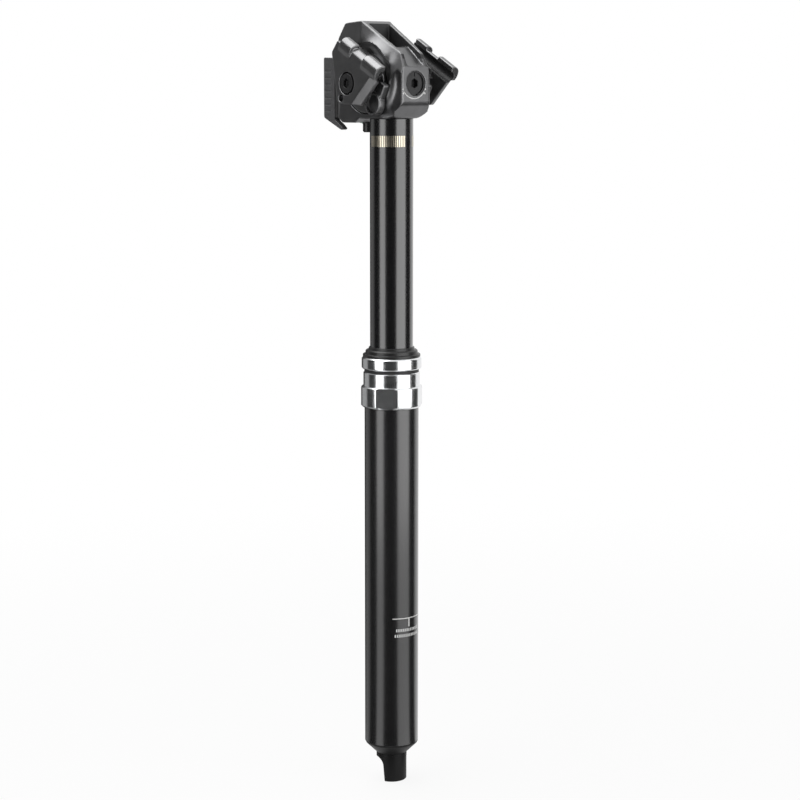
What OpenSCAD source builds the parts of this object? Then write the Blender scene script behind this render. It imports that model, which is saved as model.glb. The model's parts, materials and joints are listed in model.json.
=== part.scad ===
// Dropper seatpost with a motor-driven valve, a rear battery and a side-bolt saddle clamp.
// Millimetres. +Z runs up the post, +X points to the front of the bicycle, +Y to its left.
// The origin is on the post's axis, at the shoulder where the lower tube leaves the collar.

/* [Tubes] */
// Outer diameter of the lower tube, the seat tube size
post_od = 31.6; // [30.9:0.1:34.9]
// Wall of the lower tube
post_wall = 1.6; // [1.4:0.05:1.8]
// Outer diameter of the upper tube
stanchion_od = 25; // [24.5:0.1:25.4]
// Wall of the upper tube
stanchion_wall = 2; // [1.7:0.05:2.2]
// Drop travel
travel = 125; // [75:5:170]
// Upper tube left between wiper and head when dropped
head_gap = 6.5; // [6.2:0.1:12]
// Room between the dropped upper tube and the end cap
foot_gap = 1.5; // [1:0.1:4]

/* [Collar] */
// Height of the wrench band
wrench_band_h = 12.3; // [9:0.1:16]
// Radial step of the wrench band over the lower tube
wrench_band_lip = 2.2; // [1.8:0.05:3]
// Depth of each wrench flat below the band
wrench_flat_depth = 1.1; // [0.5:0.05:1.4]
// Turn of the first wrench flat about the post
wrench_flat_turn = -51; // [-60:1:60]
// Height of the middle band
middle_band_h = 8.2; // [6:0.1:12]
// Radial step of the middle band over the lower tube
middle_band_lip = 0.65; // [0.4:0.05:1]
// Height of the groove under the upper band
collar_groove_h = 2; // [1:0.1:3]
// Height of the upper band
upper_band_h = 7; // [5:0.1:10]
// Radial step of the upper band over the lower tube
upper_band_lip = 1.65; // [1.2:0.05:2.4]
// Edge chamfer of the bands
band_chamfer = 1.1; // [0.4:0.05:1.5]
// Step down from the lower tube to its thread
thread_step = 0.6; // [0.4:0.05:0.8]
// Length of the thread in the collar
thread_len = 19; // [14:0.5:20]

/* [Seals and guides] */
// Height of the wiper above the collar
wiper_h = 5.5; // [4:0.1:8]
// Width of the wiper lip around the upper tube
wiper_lip_w = 1; // [0.6:0.05:1.6]
// Height of the foam ring
foam_h = 5; // [3:0.1:6]
// Length of the upper bushing
upper_bushing_len = 26; // [20:0.5:30]
// Length of the lower bushing
lower_bushing_len = 18; // [12:0.5:20]
// Number of guide keys
key_count = 3; // [2:1:4]
// Width of a guide key
key_w = 3; // [2.4:0.1:4]
// Length of a guide key
key_len = 16; // [10:0.5:18]
// Depth of a keyway in the lower tube's wall
keyway_depth = 0.8; // [0.5:0.05:0.9]
// Depth that a key is let into the upper tube
key_sink = 0.5; // [0.3:0.05:0.8]

/* [Foot] */
// Height of the cone under the lower tube
cone_h = 7.4; // [5:0.1:10]
// Diameter of the nub
nub_d = 17.8; // [16:0.1:20]
// Length of the nub under the cone
nub_len = 16.6; // [15.8:0.1:20]
// Bore of the nub around the filling valve
guard_bore_d = 12; // [10.4:0.1:13]
// Turn of the scoop about the post
scoop_turn = -155; // [-180:1:180]
// Distance of the scoop's face from the axis
scoop_offset = 0.3; // [0:0.1:2]
// Radius of the scoop's upper corner
scoop_r = 5; // [3:0.1:6]
// Height of the end cap's plug inside the lower tube
plug_h = 5; // [3:0.1:8]
// Diameter of the filling valve's stem
valve_stem_d = 6.4; // [5.6:0.1:6.8]
// Wall of the valve cap
valve_cap_wall = 0.85; // [0.6:0.05:1]

/* [Damper] */
// Diameter of the inner shaft
shaft_d = 10; // [9:0.1:10.6]
// Bore of the inner shaft
shaft_bore_d = 7; // [6:0.1:7.6]
// Bore of the damper sleeve
sleeve_bore_d = 18.4; // [17.6:0.1:18.6]
// Wall of the damper sleeve
sleeve_wall = 0.8; // [0.6:0.05:0.9]
// Height of the seal head
seal_head_h = 12; // [9:0.5:16]
// Height of the shaft piston
piston_h = 8; // [6:0.5:12]
// Height of the piston nut
piston_nut_h = 3.5; // [2.5:0.1:5]
// Height of the floating piston
float_h = 8; // [6:0.5:12]
// Height of a seal ring's groove
seal_h = 2.4; // [1.6:0.1:3]
// Depth of a seal ring's groove
seal_depth = 1.1; // [0.7:0.05:1.4]

/* [Valve drive] */
// Height of the valve body
valve_body_h = 9; // [8:0.5:12]
// Opening stroke of the valve plunger
valve_stroke = 1.5; // [0.8:0.1:1.6]
// Diameter of the valve plunger's stem
plunger_d = 3.9; // [3.4:0.1:4.4]
// Diameter of the lead screw
screw_d = 2.2; // [1.6:0.1:2.4]
// Diameter of the valve motor
motor_d = 12; // [10:0.1:12.2]
// Length of the valve motor
motor_len = 9.2; // [6:0.1:9.4]
// Length of the motor's gearbox
gearbox_len = 6; // [4:0.1:6.2]
// Length of the head's plug in the upper tube
head_plug_len = 12.5; // [11:0.1:16]

/* [Head] */
// Half width of the head
head_half_w = 13.5; // [13.2:0.1:16]
// Half width of the head's centre web between the side recesses
web_half_w = 11.5; // [11.2:0.1:12.2]
// Half width of the channel on top at its rear end
channel_half_w = 7.6; // [7:0.1:8.2]
// Half width of the channel on top at its front end
channel_front_half_w = 6; // [5:0.1:6.8]
// Distance of the front face from the post's axis
head_front = 21.5; // [20.5:0.1:26]
// Distance of the rear face behind the post's axis
head_rear = 33.7; // [33:0.1:36]
// Height of the head
head_h = 55.2; // [53:0.1:60]
// Height of the front face's upper edge
front_face_h = 29; // [27.8:0.1:31]
// Radius of the round side recesses
recess_r = 20.2; // [19.8:0.1:20.4]

/* [Saddle clamp] */
// Distance of the tilt axis behind the post's axis
hub_back = 7; // [6.5:0.1:7.5]
// Height of the tilt axis above the head's underside
hub_h = 19.8; // [19.5:0.1:20.2]
// Diameter of the cradle hub
hub_d = 24; // [22:0.1:24.2]
// Nose-down angle of the saddle rails
rail_tilt = 28; // [22:0.1:30]
// Diameter of the saddle rails
rail_d = 7; // [6.8:0.05:7.2]
// Distance of each rail from the middle plane
rail_y = 22; // [21.6:0.1:23]
// Height of the rails above the tilt axis
rail_v = 15; // [14:0.1:16]
// Front end of the clamps along the rail
clamp_front = 21.2; // [19:0.1:26]
// Rear end of the clamps along the rail
clamp_rear = 15; // [13:0.1:18]
// Wall of the clamp around the rail
clamp_wall = 2.1; // [1.8:0.05:2.6]
// Gap between the inner and outer clamps
clamp_split = 0.8; // [0.6:0.05:1.2]
// Thickness of the outer clamp's plate
clamp_plate_t = 5.1; // [4.6:0.1:6]
// Opening of the left clamp before the bolt is tightened
clamp_open = 5; // [3:0.1:5]
// Diameter of the cross bolt
bolt_d = 6; // [5:0.1:6]
// Diameter of the cross bolt's head
bolt_head_d = 11; // [9.6:0.1:11.4]
// Diameter of the recess for the bolt's head
counterbore_d = 13; // [12:0.1:14]
// Diameter of the guide pins
guide_pin_d = 4; // [3:0.1:4.4]

/* [Tilt adjuster] */
// Diameter of the adjuster's face
adjuster_d = 13.4; // [12:0.1:14]
// Depth of the adjuster's face in the front of the head
adjuster_sink = 1.5; // [1.3:0.05:2]
// Throw of the adjuster's eccentric ball
adjuster_throw = 1.55; // [1.4:0.05:1.6]
// Diameter of the eccentric ball
adjuster_ball_d = 3.2; // [2.6:0.1:3.4]
// Distance of the ball from the tilt axis
adjuster_reach = 10.5; // [10:0.1:10.8]
// Width across the adjuster's hex socket
adjuster_socket_af = 5; // [4:0.5:6]

/* [Battery] */
// Half width of the battery
battery_half_w = 13; // [12:0.1:13.4]
// Depth of the battery from front to rear
battery_t = 11.4; // [9:0.1:14]
// Height of the battery's top above the head's underside
battery_top = 34.8; // [33:0.1:36]
// Drop of the battery's lower lip under the head
battery_lip_drop = 6.9; // [6.4:0.1:8]
// Number of grip grooves on each side of the battery
grip_count = 7; // [4:1:8]
// Thickness of the battery mount
battery_mount_t = 2.2; // [1.8:0.1:3]
// Width of the battery latch
latch_w = 9; // [7:0.1:10]

/* [Button] */
// Diameter of the function button
button_d = 6.4; // [5:0.1:6.8]
// Length of the button below the head
button_len = 5.6; // [4:0.1:6]
// Distance of the button behind the post's axis
button_back = 21; // [20.8:0.1:21.4]

/* [Clearances] */
// Radial clearance of sliding and turning fits
fit = 0.05; // [0.03:0.01:0.08]
// Clear gap between pieces that move past each other
gap = 0.3; // [0.2:0.05:0.4]

/* [Hidden] */
$fn = 64;
// Length that a cut runs past the face it opens
cut = 1;

// Radii of the tubes
post_r = post_od / 2;
bore_r = post_r - post_wall;
thread_r = post_r - thread_step;
stanchion_r = stanchion_od / 2;
stanchion_bore_r = stanchion_r - stanchion_wall;
running_r = stanchion_r + fit;

// Heights in the collar and the wiper
middle_band_z = wrench_band_h;
collar_groove_z = middle_band_z + middle_band_h;
upper_band_z = collar_groove_z + collar_groove_h;
collar_top = upper_band_z + upper_band_h;
wiper_top = collar_top + wiper_h;
wiper_flange_h = 1.5;
wiper_lip_h = 1.6;
upper_bushing_z = thread_len - upper_bushing_len;
head_z = wiper_top + travel + head_gap;

// Radii and heights of the damper
shaft_r = shaft_d / 2;
sleeve_bore_r = sleeve_bore_d / 2;
sleeve_r = sleeve_bore_r + sleeve_wall;
sliding_piston_r = sleeve_bore_r - fit;
seal_r = sleeve_bore_r - fit / 2;
end_room = 3;
piston_room = 1.6;
valve_room = 1.5;
// The shaft pushes its own volume of oil against the floating piston
float_ratio = shaft_r^2 / (sleeve_bore_r^2 - shaft_r^2);
float_travel = travel * float_ratio;
valve_top_z = head_z - head_plug_len;
valve_z = valve_top_z - valve_body_h;
valve_seal_z = valve_top_z - 2.5;
shaft_top = valve_z - valve_room - travel;
piston_top = shaft_top - piston_nut_h;
piston_z = piston_top - piston_h;
float_z = piston_z - piston_room - float_h;
seal_head_top = float_z - float_travel - end_room;
stanchion_foot = seal_head_top - seal_head_h;
post_foot = stanchion_foot - travel - foot_gap - plug_h;
key_room = 2;
key_z = stanchion_foot + lower_bushing_len + key_room;

// Heights in the foot
cone_foot = post_foot - cone_h;
nub_r = nub_d / 2;
nub_foot = cone_foot - nub_len;
ring_h = 2.1;
guard_top = cone_foot - ring_h - gap;
shaft_seat = post_foot - 3;
valve_hex_h = 1.5;
valve_hex_r = valve_stem_d / 2 + 1.4;
valve_stem_foot = nub_foot + 3.5;
valve_shank_r = 2.75;
valve_bore_r = 1.5;
valve_cap_foot = nub_foot + 0.9;

// Valve drive heights
poppet_room = valve_stroke + 2.5;
poppet_h = 1;
poppet_r = plunger_d / 2 + 2;
gearbox_z = valve_top_z + 3;
motor_z = gearbox_z + gearbox_len;
motor_top = motor_z + motor_len;
plunger_top = gearbox_z - 0.5;
screw_foot = valve_z + 6.5;
screw_top = gearbox_z + 3;
motor_bay_r = motor_d / 2 + 0.2;

// Places in the head
hub_x = -hub_back;
hub_z = head_z + hub_h;
hub_r = hub_d / 2;
recess_rise = 3;
belly_drop = 2.6;
cradle_face = web_half_w + gap;
disc_r = recess_r - recess_rise - 0.6;
plate_face = head_half_w + 0.7;
clamp_top = rail_v + rail_d / 2 + clamp_wall;
clamp_edge_r = 3.8;
inner_edge = rail_y - clamp_split / 2;
outer_edge = rail_y + clamp_split / 2;
outer_face = outer_edge + clamp_plate_t;
guide_pin_at = [-0.65, -9.8];
bolt_seat = outer_edge + 1.5;
washer_t = 0.8;
bolt_head_h = 3;
boss_r = 7.5;
boss_face = outer_edge - 2.9;
guide_boss_r = guide_pin_d / 2 + 1.6;
nut_sleeve_r = 4.3;
nut_flange_h = 2.3;
socket_r = adjuster_socket_af / 2 / cos(30);
adjuster_t = 2.4;
adjuster_face = head_front - adjuster_sink;
adjuster_back = adjuster_face - adjuster_t;
adjuster_shank_r = 4;
adjuster_neck_r = 0.95;
ball_x = hub_x + adjuster_reach;
ball_r = adjuster_ball_d / 2;
slot_room = 0.12;
clip_t = 0.8;
clip_x = adjuster_face + 0.2;

// Places on the rear of the head
mount_x = -head_rear - battery_mount_t;
battery_x = mount_x - gap;
battery_back = battery_x - battery_t;
board_t = 1.6;
board_x = -head_rear + 0.6;
board_half_w = 9;
board_h = 24;
board_z = 5;
contact_z = 16;
contact_spacing = 4;
contact_r = 0.9;
latch_x = -head_rear - 1.6;
latch_h = battery_top + 2.7;
latch_pin_r = 1;
latch_reach = 9;

// Places of the function button, its switch and the status light
button_flange_r = button_d / 2 + 1;
button_flange_z = 2;
switch_half_w = 3;
switch_z = 4.6;
switch_h = 1.7;
lens_back = 5.6;
lens_r = 1.2;
lens_sink = 1.5;

// Vector of length one
function unit(v) = v / norm(v);

// Points of an arc
function arc(centre, r, start, sweep, steps = 6) =
  [for (i = [0:steps]) centre + r * [cos(start + sweep * i / steps), sin(start + sweep * i / steps)]];

// Arc that rounds the corner b between its neighbours a and c
function corner(a, b, c) =
  b[2] == 0 ? [[b.x, b.y]] :
  let (p = [b.x, b.y], u = unit([a.x, a.y] - p), w = unit([c.x, c.y] - p), half = acos(u * w) / 2,
       centre = p + unit(u + w) * b[2] / sin(half), s = p + u * b[2] / tan(half) - centre,
       way = cross(u, w) > 0 ? -1 : 1)
  arc(centre, b[2], atan2(s.y, s.x), way * (180 - 2 * half));

// Outline of corners [x, y, radius]
function rounded(pts) =
  let (n = len(pts)) [for (i = [0:n - 1]) each corner(pts[(i + n - 1) % n], pts[i], pts[(i + 1) % n])];

// Corners on one side, followed by their mirror image across the first axis
function both_sides(pts) =
  concat(pts, [for (i = [len(pts) - 1:-1:0]) [pts[i].x, -pts[i].y, pts[i][2]]]);

// Outline in X and Z, drawn out along Y from y0 to y1
module slab_y(pts, y0, y1) translate([0, y1, 0]) rotate([90, 0, 0]) linear_extrude(y1 - y0) polygon(pts);

// Round bar along Y
module bar_y(r, y0, y1) translate([0, y1, 0]) rotate([90, 0, 0]) cylinder(r = r, h = y1 - y0);

// Round bar along X
module bar_x(r, x0, x1) translate([x0, 0, 0]) rotate([0, 90, 0]) cylinder(r = r, h = x1 - x0);

// Round bar along Z
module bar_z(r, z0, z1) translate([0, 0, z0]) cylinder(r = r, h = z1 - z0);

// Ring about the post's axis
module ring(r_out, r_in, z0, z1) {
  difference() {
    bar_z(r_out, z0, z1);
    bar_z(r_in, z0 - cut, z1 + cut);
  }
}

// Frame of the saddle clamp: X along the rail, Z square to it, at the tilt axis
module clamp_frame() translate([hub_x, 0, hub_z]) rotate([0, rail_tilt, 0]) children();

// Frame of the head's underside
module head_frame() translate([0, 0, head_z]) children();

// Frame of the function button, on the underside of the head's belly
module button_frame() translate([-button_back, 0, head_z - belly_drop]) children();

// Block that each guide key and its slots are cut from
module key_block(w, r0, r1, z0, z1) {
  for (i = [0:key_count - 1])
    rotate(i * 360 / key_count) translate([r0, -w / 2, z0]) cube([r1 - r0, w, z1 - z0]);
}

module outer_tube() color([0.07, 0.07, 0.075]) {
  difference() {
    rotate_extrude() polygon([[bore_r, post_foot], [post_r, post_foot], [post_r, 0], [thread_r, 0],
      [thread_r, thread_len], [bore_r, thread_len]]);
    key_block(key_w + 2 * fit, stanchion_r, bore_r + keyway_depth, post_foot + plug_h, upper_bushing_z);
  }
}

module end_cap() color([0.07, 0.07, 0.075]) {
  cone_round = 1.2;
  scoop = concat([[scoop_offset, nub_foot - cut]],
    arc([scoop_offset + cut + scoop_r, guard_top - scoop_r], scoop_r, 180, -90),
    [[2 * nub_r, guard_top], [2 * nub_r, nub_foot - cut]]);
  difference() {
    rotate_extrude() polygon([[0, post_foot + plug_h], [bore_r, post_foot + plug_h], [bore_r, post_foot],
      [post_r, post_foot], [post_r - cone_round / 2, post_foot - cone_round], [nub_r - 0.1, cone_foot],
      [nub_r + 0.1, cone_foot - gap], [nub_r + 0.1, guard_top], [nub_r, guard_top],
      [nub_r, nub_foot + 0.5], [nub_r - 0.5, nub_foot], [0, nub_foot]]);
    bar_z(shaft_r, shaft_seat, post_foot + plug_h + cut);
    bar_z(valve_shank_r, guard_top - cut, shaft_seat + cut);
    bar_z(guard_bore_d / 2, nub_foot - cut, guard_top);
    rotate(scoop_turn) slab_y(scoop, -2 * nub_r, 2 * nub_r);
  }
}

module top_collar() color([0.72, 0.73, 0.74]) {
  wrench_r = post_r + wrench_band_lip;
  middle_r = post_r + middle_band_lip;
  upper_r = post_r + upper_band_lip;
  soft = band_chamfer / 2;
  flat_r = wrench_r - wrench_flat_depth;
  difference() {
    rotate_extrude() polygon([[thread_r, 0], [wrench_r - band_chamfer, 0], [wrench_r, band_chamfer],
      [wrench_r, middle_band_z - soft], [wrench_r - soft, middle_band_z], [middle_r, middle_band_z],
      [middle_r, collar_groove_z - soft], [middle_r - soft, collar_groove_z],
      [middle_r - soft, upper_band_z], [upper_r - soft, upper_band_z], [upper_r, upper_band_z + soft],
      [upper_r, collar_top - band_chamfer], [upper_r - band_chamfer, collar_top], [thread_r, collar_top]]);
    for (i = [0:3])
      rotate(wrench_flat_turn + 90 * i) translate([flat_r, -wrench_r, -cut])
        cube([wrench_r, 2 * wrench_r, middle_band_z + cut]);
  }
}

module wiper_seal() color([0.05, 0.05, 0.05]) {
  flange_r = post_r + upper_band_lip - band_chamfer + 0.4;
  body_r = thread_r;
  lip_r = stanchion_r + wiper_lip_w;
  flange_top = collar_top + wiper_flange_h;
  lip_z = wiper_top - wiper_lip_h;
  rotate_extrude() polygon([[running_r, thread_len + foam_h], [thread_r, thread_len + foam_h],
    [thread_r, collar_top], [flange_r, collar_top], [flange_r, flange_top], [body_r, flange_top],
    [body_r, lip_z - 0.6], [body_r - 0.6, lip_z], [lip_r, lip_z], [lip_r - 0.3, wiper_top],
    [running_r, wiper_top]]);
}

module foam_ring() color([0.25, 0.25, 0.22]) ring(thread_r, running_r, thread_len, thread_len + foam_h);

module upper_bushing() color([0.55, 0.48, 0.3]) ring(bore_r, running_r, upper_bushing_z, thread_len);

module inner_shaft() color([0.75, 0.75, 0.76]) {
  difference() {
    bar_z(shaft_r, shaft_seat, shaft_top);
    bar_z(shaft_bore_d / 2, shaft_seat - cut, piston_z);
  }
}

// Piston that runs in the damper sleeve, with a groove for its seal
module grooved_piston(bore, z, h) {
  difference() {
    ring(sliding_piston_r, bore, z, z + h);
    ring(sliding_piston_r + cut, sliding_piston_r - seal_depth, z + (h - seal_h) / 2, z + (h + seal_h) / 2);
  }
}

// Seal in the groove of such a piston
module groove_seal(z, h)
  ring(seal_r, sliding_piston_r - seal_depth, z + (h - seal_h) / 2, z + (h + seal_h) / 2);

module shaft_piston() color([0.7, 0.68, 0.6]) grooved_piston(shaft_r, piston_z, piston_h);

module piston_seal() color([0.12, 0.12, 0.12]) groove_seal(piston_z, piston_h);

module piston_nut() color([0.5, 0.5, 0.52]) {
  nut_r = shaft_r + 2.5;
  difference() {
    translate([0, 0, piston_top]) cylinder(r = nut_r, h = piston_nut_h, $fn = 6);
    bar_z(shaft_r, piston_top - cut, shaft_top + cut);
  }
}

module air_valve() color([0.7, 0.6, 0.35]) {
  difference() {
    union() {
      bar_z(valve_shank_r, guard_top - cut, shaft_seat);
      translate([0, 0, guard_top - valve_hex_h]) cylinder(r = valve_hex_r, h = valve_hex_h, $fn = 6);
      bar_z(valve_stem_d / 2, valve_stem_foot, guard_top - valve_hex_h);
    }
    bar_z(valve_bore_r, valve_stem_foot - cut, guard_top + 4);
  }
}

module valve_pin() color([0.75, 0.65, 0.4]) {
  guide_z = guard_top - 3;
  bar_z(valve_bore_r - fit, guide_z, guide_z + 1);
  bar_z(valve_bore_r / 2, valve_stem_foot + 0.6, guide_z);
}

module valve_cap() color([0.08, 0.08, 0.08]) {
  cap_r = valve_stem_d / 2 + valve_cap_wall;
  cap_top = valve_stem_foot + 6.5;
  difference() {
    bar_z(cap_r, valve_cap_foot, cap_top);
    bar_z(valve_stem_d / 2, valve_cap_foot + 1, cap_top + cut);
  }
}

module stanchion() color([0.03, 0.03, 0.035]) {
  difference() {
    ring(stanchion_r, stanchion_bore_r, stanchion_foot, head_z);
    key_block(key_w, stanchion_r - key_sink, stanchion_r + cut, key_z, key_z + key_len);
  }
}

module lower_bushing() color([0.55, 0.48, 0.3])
  ring(bore_r - fit, stanchion_r, stanchion_foot, stanchion_foot + lower_bushing_len);

module guide_keys() color([0.75, 0.62, 0.3])
  key_block(key_w, stanchion_r - key_sink, bore_r + keyway_depth - 2 * fit, key_z, key_z + key_len);

// Groove or ring of the static seals in the upper tube
module static_seal(z, r_out) ring(r_out, stanchion_bore_r - seal_depth, z - seal_h / 2, z + seal_h / 2);

module seal_head() color([0.45, 0.45, 0.47]) {
  difference() {
    ring(stanchion_bore_r, shaft_r + fit, stanchion_foot, seal_head_top);
    static_seal((stanchion_foot + seal_head_top) / 2, stanchion_bore_r + cut);
  }
}

module damper_sleeve() color([0.7, 0.7, 0.72]) {
  port_r = 0.6;
  difference() {
    ring(sleeve_r, sleeve_bore_r, seal_head_top, valve_z);
    for (turn = [0:90:270])
      rotate(turn) translate([0, 0, piston_z - piston_room / 2])
        bar_x(port_r, stanchion_bore_r / 2, sleeve_r + cut);
  }
}

module damper_o_rings() color([0.1, 0.1, 0.1]) {
  static_seal((stanchion_foot + seal_head_top) / 2, stanchion_bore_r);
  static_seal(valve_seal_z, stanchion_bore_r);
}

module floating_piston() color([0.3, 0.3, 0.33]) grooved_piston(shaft_r + fit, float_z, float_h);

module floating_piston_seals() color([0.1, 0.1, 0.1]) groove_seal(float_z, float_h);

module valve_body() color([0.62, 0.6, 0.5]) {
  port_r = 1;
  difference() {
    bar_z(stanchion_bore_r, valve_z, valve_top_z);
    bar_z(poppet_r + 2 * gap, valve_z - cut, valve_z + poppet_room);
    bar_z(plunger_d / 2 + fit, valve_z, valve_top_z + cut);
    static_seal(valve_seal_z, stanchion_bore_r + cut);
    for (turn = [0:120:240])
      rotate(turn) translate([0, 0, valve_z + poppet_room / 2])
        bar_x(port_r, poppet_r, stanchion_bore_r + cut);
  }
}

module valve_plunger() color([0.7, 0.7, 0.72]) {
  poppet_top = valve_z + poppet_room - 0.1;
  difference() {
    union() {
      bar_z(poppet_r, poppet_top - poppet_h, poppet_top);
      bar_z(plunger_d / 2, poppet_top - poppet_h, plunger_top);
    }
    bar_z(screw_d / 2 + fit, screw_foot - 0.5, plunger_top + cut);
  }
}

module valve_screw() color([0.6, 0.6, 0.62]) bar_z(screw_d / 2, screw_foot, screw_top);

module motor_gearbox() color([0.55, 0.5, 0.35]) {
  difference() {
    bar_z(motor_d / 2, gearbox_z, motor_z);
    bar_z(screw_d / 2 + fit, gearbox_z - cut, screw_top + 0.3);
  }
}

module valve_motor() color([0.6, 0.6, 0.62]) {
  flat_w = motor_d * 0.83;
  intersection() {
    bar_z(motor_d / 2, motor_z, motor_top);
    translate([-motor_d, -flat_w / 2, motor_z - cut]) cube([2 * motor_d, flat_w, motor_len + 2 * cut]);
  }
}

// Everything on the near side of the left wall's sloping outer face
module left_wall_side(crest, slope, wall_y, converge) {
  lean = 0.33;
  far = 3 * head_h;
  keep = [[0, far], [0, 0], [lean * far, -far], [-far, -far], [-far, far]];
  translate([crest.x, wall_y, crest.y]) rotate([0, 0, -converge]) rotate([0, slope, 0]) rotate([90, 0, 90])
    linear_extrude(2 * far, center = true) polygon(keep);
}

// Forged block of the head: its side, top and front outlines brought together
module head_block() {
  crest = [-14, head_h];
  brow = [head_front - 3.5, front_face_h + 7.5];
  slope = atan2(crest.y - brow.y, brow.x - crest.x);
  wall_y = channel_half_w + 3;
  converge = atan2(wall_y - channel_front_half_w - 2, brow.x - crest.x);
  shoulder_h = 12;
  side = rounded([[-head_rear, 0.3, 1], [-head_rear, head_h - 12.7, 2], [-head_rear + 4.9, head_h - 1, 2.5],
    [crest.x, crest.y, 1.5], [brow.x, brow.y, 2], [head_front, front_face_h, 0.8], [head_front, 8.5, 5],
    [stanchion_r + 0.7, 0, 1.5], [-stanchion_r - 1.5, 0, 1], [-stanchion_r - 5, -belly_drop, 2],
    [-head_rear + 4.7, -belly_drop, 2]]);
  top = rounded(both_sides([[head_front, 10.2, 2], [head_front - 5, head_half_w, 4],
    [-head_rear + 3, head_half_w, 2.5], [-head_rear, head_half_w - 0.9, 0.8]]));
  front = rounded(both_sides([[-belly_drop - cut, stanchion_r + 0.2, 0], [6, head_half_w, 4],
    [head_h - shoulder_h, head_half_w, 5], [head_h, wall_y, 0.4], [head_h + cut, wall_y, 0]]));
  tall = 2 * head_h;
  // The front runs down to the round tube in one soft curve
  neck_r = stanchion_r + 1.3;
  neck_w = 10;
  neck_h = 8;
  neck = concat([[0, -tall], [neck_r, -tall]],
    [for (a = [0:10:90]) [neck_r + neck_w * pow(sin(a), 4 / 3), neck_h * (1 - pow(cos(a), 4 / 3))]],
    [[tall, neck_h], [tall, tall], [0, tall]]);
  intersection() {
    slab_y(side, -tall, tall);
    union() {
      rotate_extrude() polygon(neck);
      translate([-2 * tall, -tall, -tall]) cube([2 * tall, 2 * tall, 3 * tall]);
    }
    translate([0, 0, -tall / 2]) linear_extrude(2 * tall) polygon(top);
    rotate([90, 0, 90]) linear_extrude(2 * tall, center = true) polygon([for (p = front) [p.y, p.x]]);
    left_wall_side(crest, slope, wall_y, converge);
    mirror([0, 1, 0]) left_wall_side(crest, slope, wall_y, converge);
  }
}

module head() color([0.13, 0.13, 0.135]) {
  channel_floor = 40;
  channel_rear = -11.2;
  ramp_top = 7;
  past = 2 * head_front;
  channel = [[channel_rear, 2 * head_h], [channel_rear, channel_floor], [ramp_top, channel_floor],
    [head_front, front_face_h], [past, front_face_h - 5], [past, 2 * head_h]];
  narrowing = (channel_half_w - channel_front_half_w) / (head_front - channel_rear);
  past_half_w = channel_half_w - narrowing * (past - channel_rear);
  plan = both_sides([[channel_rear, channel_half_w, 0], [past, past_half_w, 0]]);
  adjuster_bore_r = adjuster_d / 2 + 0.2;
  difference() {
    head_frame() union() {
      head_block();
      bar_z(stanchion_bore_r, -head_plug_len, cut);
    }
    // Channel on top, narrower towards the front
    head_frame() intersection() {
      slab_y(channel, -head_half_w, head_half_w);
      linear_extrude(2 * head_h) polygon([for (p = plan) [p.x, p.y]]);
    }
    // Round recesses for the inner clamps, and the bore for the hub between them
    for (side = [-1, 1])
      translate([hub_x, side * (web_half_w + head_half_w), hub_z + recess_rise])
        bar_y(recess_r, -head_half_w, head_half_w);
    translate([hub_x, 0, hub_z]) bar_y(hub_r + fit, -web_half_w - cut, web_half_w + cut);
    // Pocket, bore and clip groove of the tilt adjuster
    translate([0, 0, hub_z]) {
      bar_x(adjuster_bore_r, adjuster_back - 0.2, head_front + cut);
      bar_x(adjuster_shank_r + fit, hub_x, head_front);
      bar_x(adjuster_bore_r + 0.5, clip_x - 0.05, clip_x + clip_t + 0.05);
    }
    bar_z(motor_bay_r, valve_top_z - cut, motor_top + 0.2);
    // Button, its switch and the status light
    button_frame() {
      bar_z(button_d / 2 + 0.1, -cut, button_flange_z);
      bar_z(button_flange_r + 0.2, button_flange_z - 0.3, switch_z);
      translate([-switch_half_w - 0.1, -switch_half_w - 0.1, switch_z - 0.1])
        cube([2 * switch_half_w + 0.2, 2 * switch_half_w + 0.2, switch_h + 0.1]);
      translate([-lens_back, 0, 0]) bar_z(lens_r, -cut, lens_sink);
    }
    // Bay of the control board, closed by the battery mount
    head_frame() translate([-head_rear - cut, -board_half_w - 0.3, board_z - 0.3])
      cube([4 + cut, 2 * board_half_w + 0.6, board_h + 0.6]);
  }
}

module control_board() color([0.1, 0.3, 0.15]) {
  head_frame() {
    translate([board_x, -board_half_w, board_z]) cube([board_t, 2 * board_half_w, board_h]);
    for (chip = [[-6, 3, 5, 6], [1, 4, 6, 6], [-5, 13, 9, 5]])
      translate([board_x + board_t, chip[0], board_z + chip[1]]) cube([1.2, chip[2], chip[3]]);
  }
}

module battery_mount() color([0.09, 0.09, 0.09]) {
  half_w = battery_half_w - 0.4;
  plate = rounded(both_sides([[-0.4, half_w, 1.5], [battery_top + 0.5, half_w, 2.5]]));
  ear_w = 2;
  ear = rounded([[-head_rear, battery_top - 3, 0], [-head_rear, latch_h + 1.6, 0.5],
    [mount_x - 0.4, latch_h + 1.6, 1.6], [mount_x - 0.4, latch_h - 1.4, 0.8], [mount_x, latch_h - 2.6, 0],
    [mount_x, battery_top - 3, 0]]);
  difference() {
    head_frame() {
      translate([mount_x, 0, 0]) rotate([90, 0, 90]) linear_extrude(battery_mount_t)
        polygon([for (p = plate) [p.y, p.x]]);
      for (y = [-latch_w / 2 - gap - ear_w, latch_w / 2 + gap]) slab_y(ear, y, y + ear_w);
    }
    head_frame() {
      translate([latch_x, 0, latch_h]) bar_y(latch_pin_r, -latch_w, latch_w);
      for (i = [-1:1])
        translate([0, i * contact_spacing, contact_z]) bar_x(contact_r, mount_x - cut, -head_rear + cut);
    }
  }
}

module battery_contacts() color([0.85, 0.7, 0.3]) {
  for (i = [-1:1])
    head_frame() translate([0, i * contact_spacing, contact_z]) {
      bar_x(contact_r, mount_x, board_x);
      bar_x(contact_r - gap, mount_x - 0.7, mount_x);
    }
}

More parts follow.
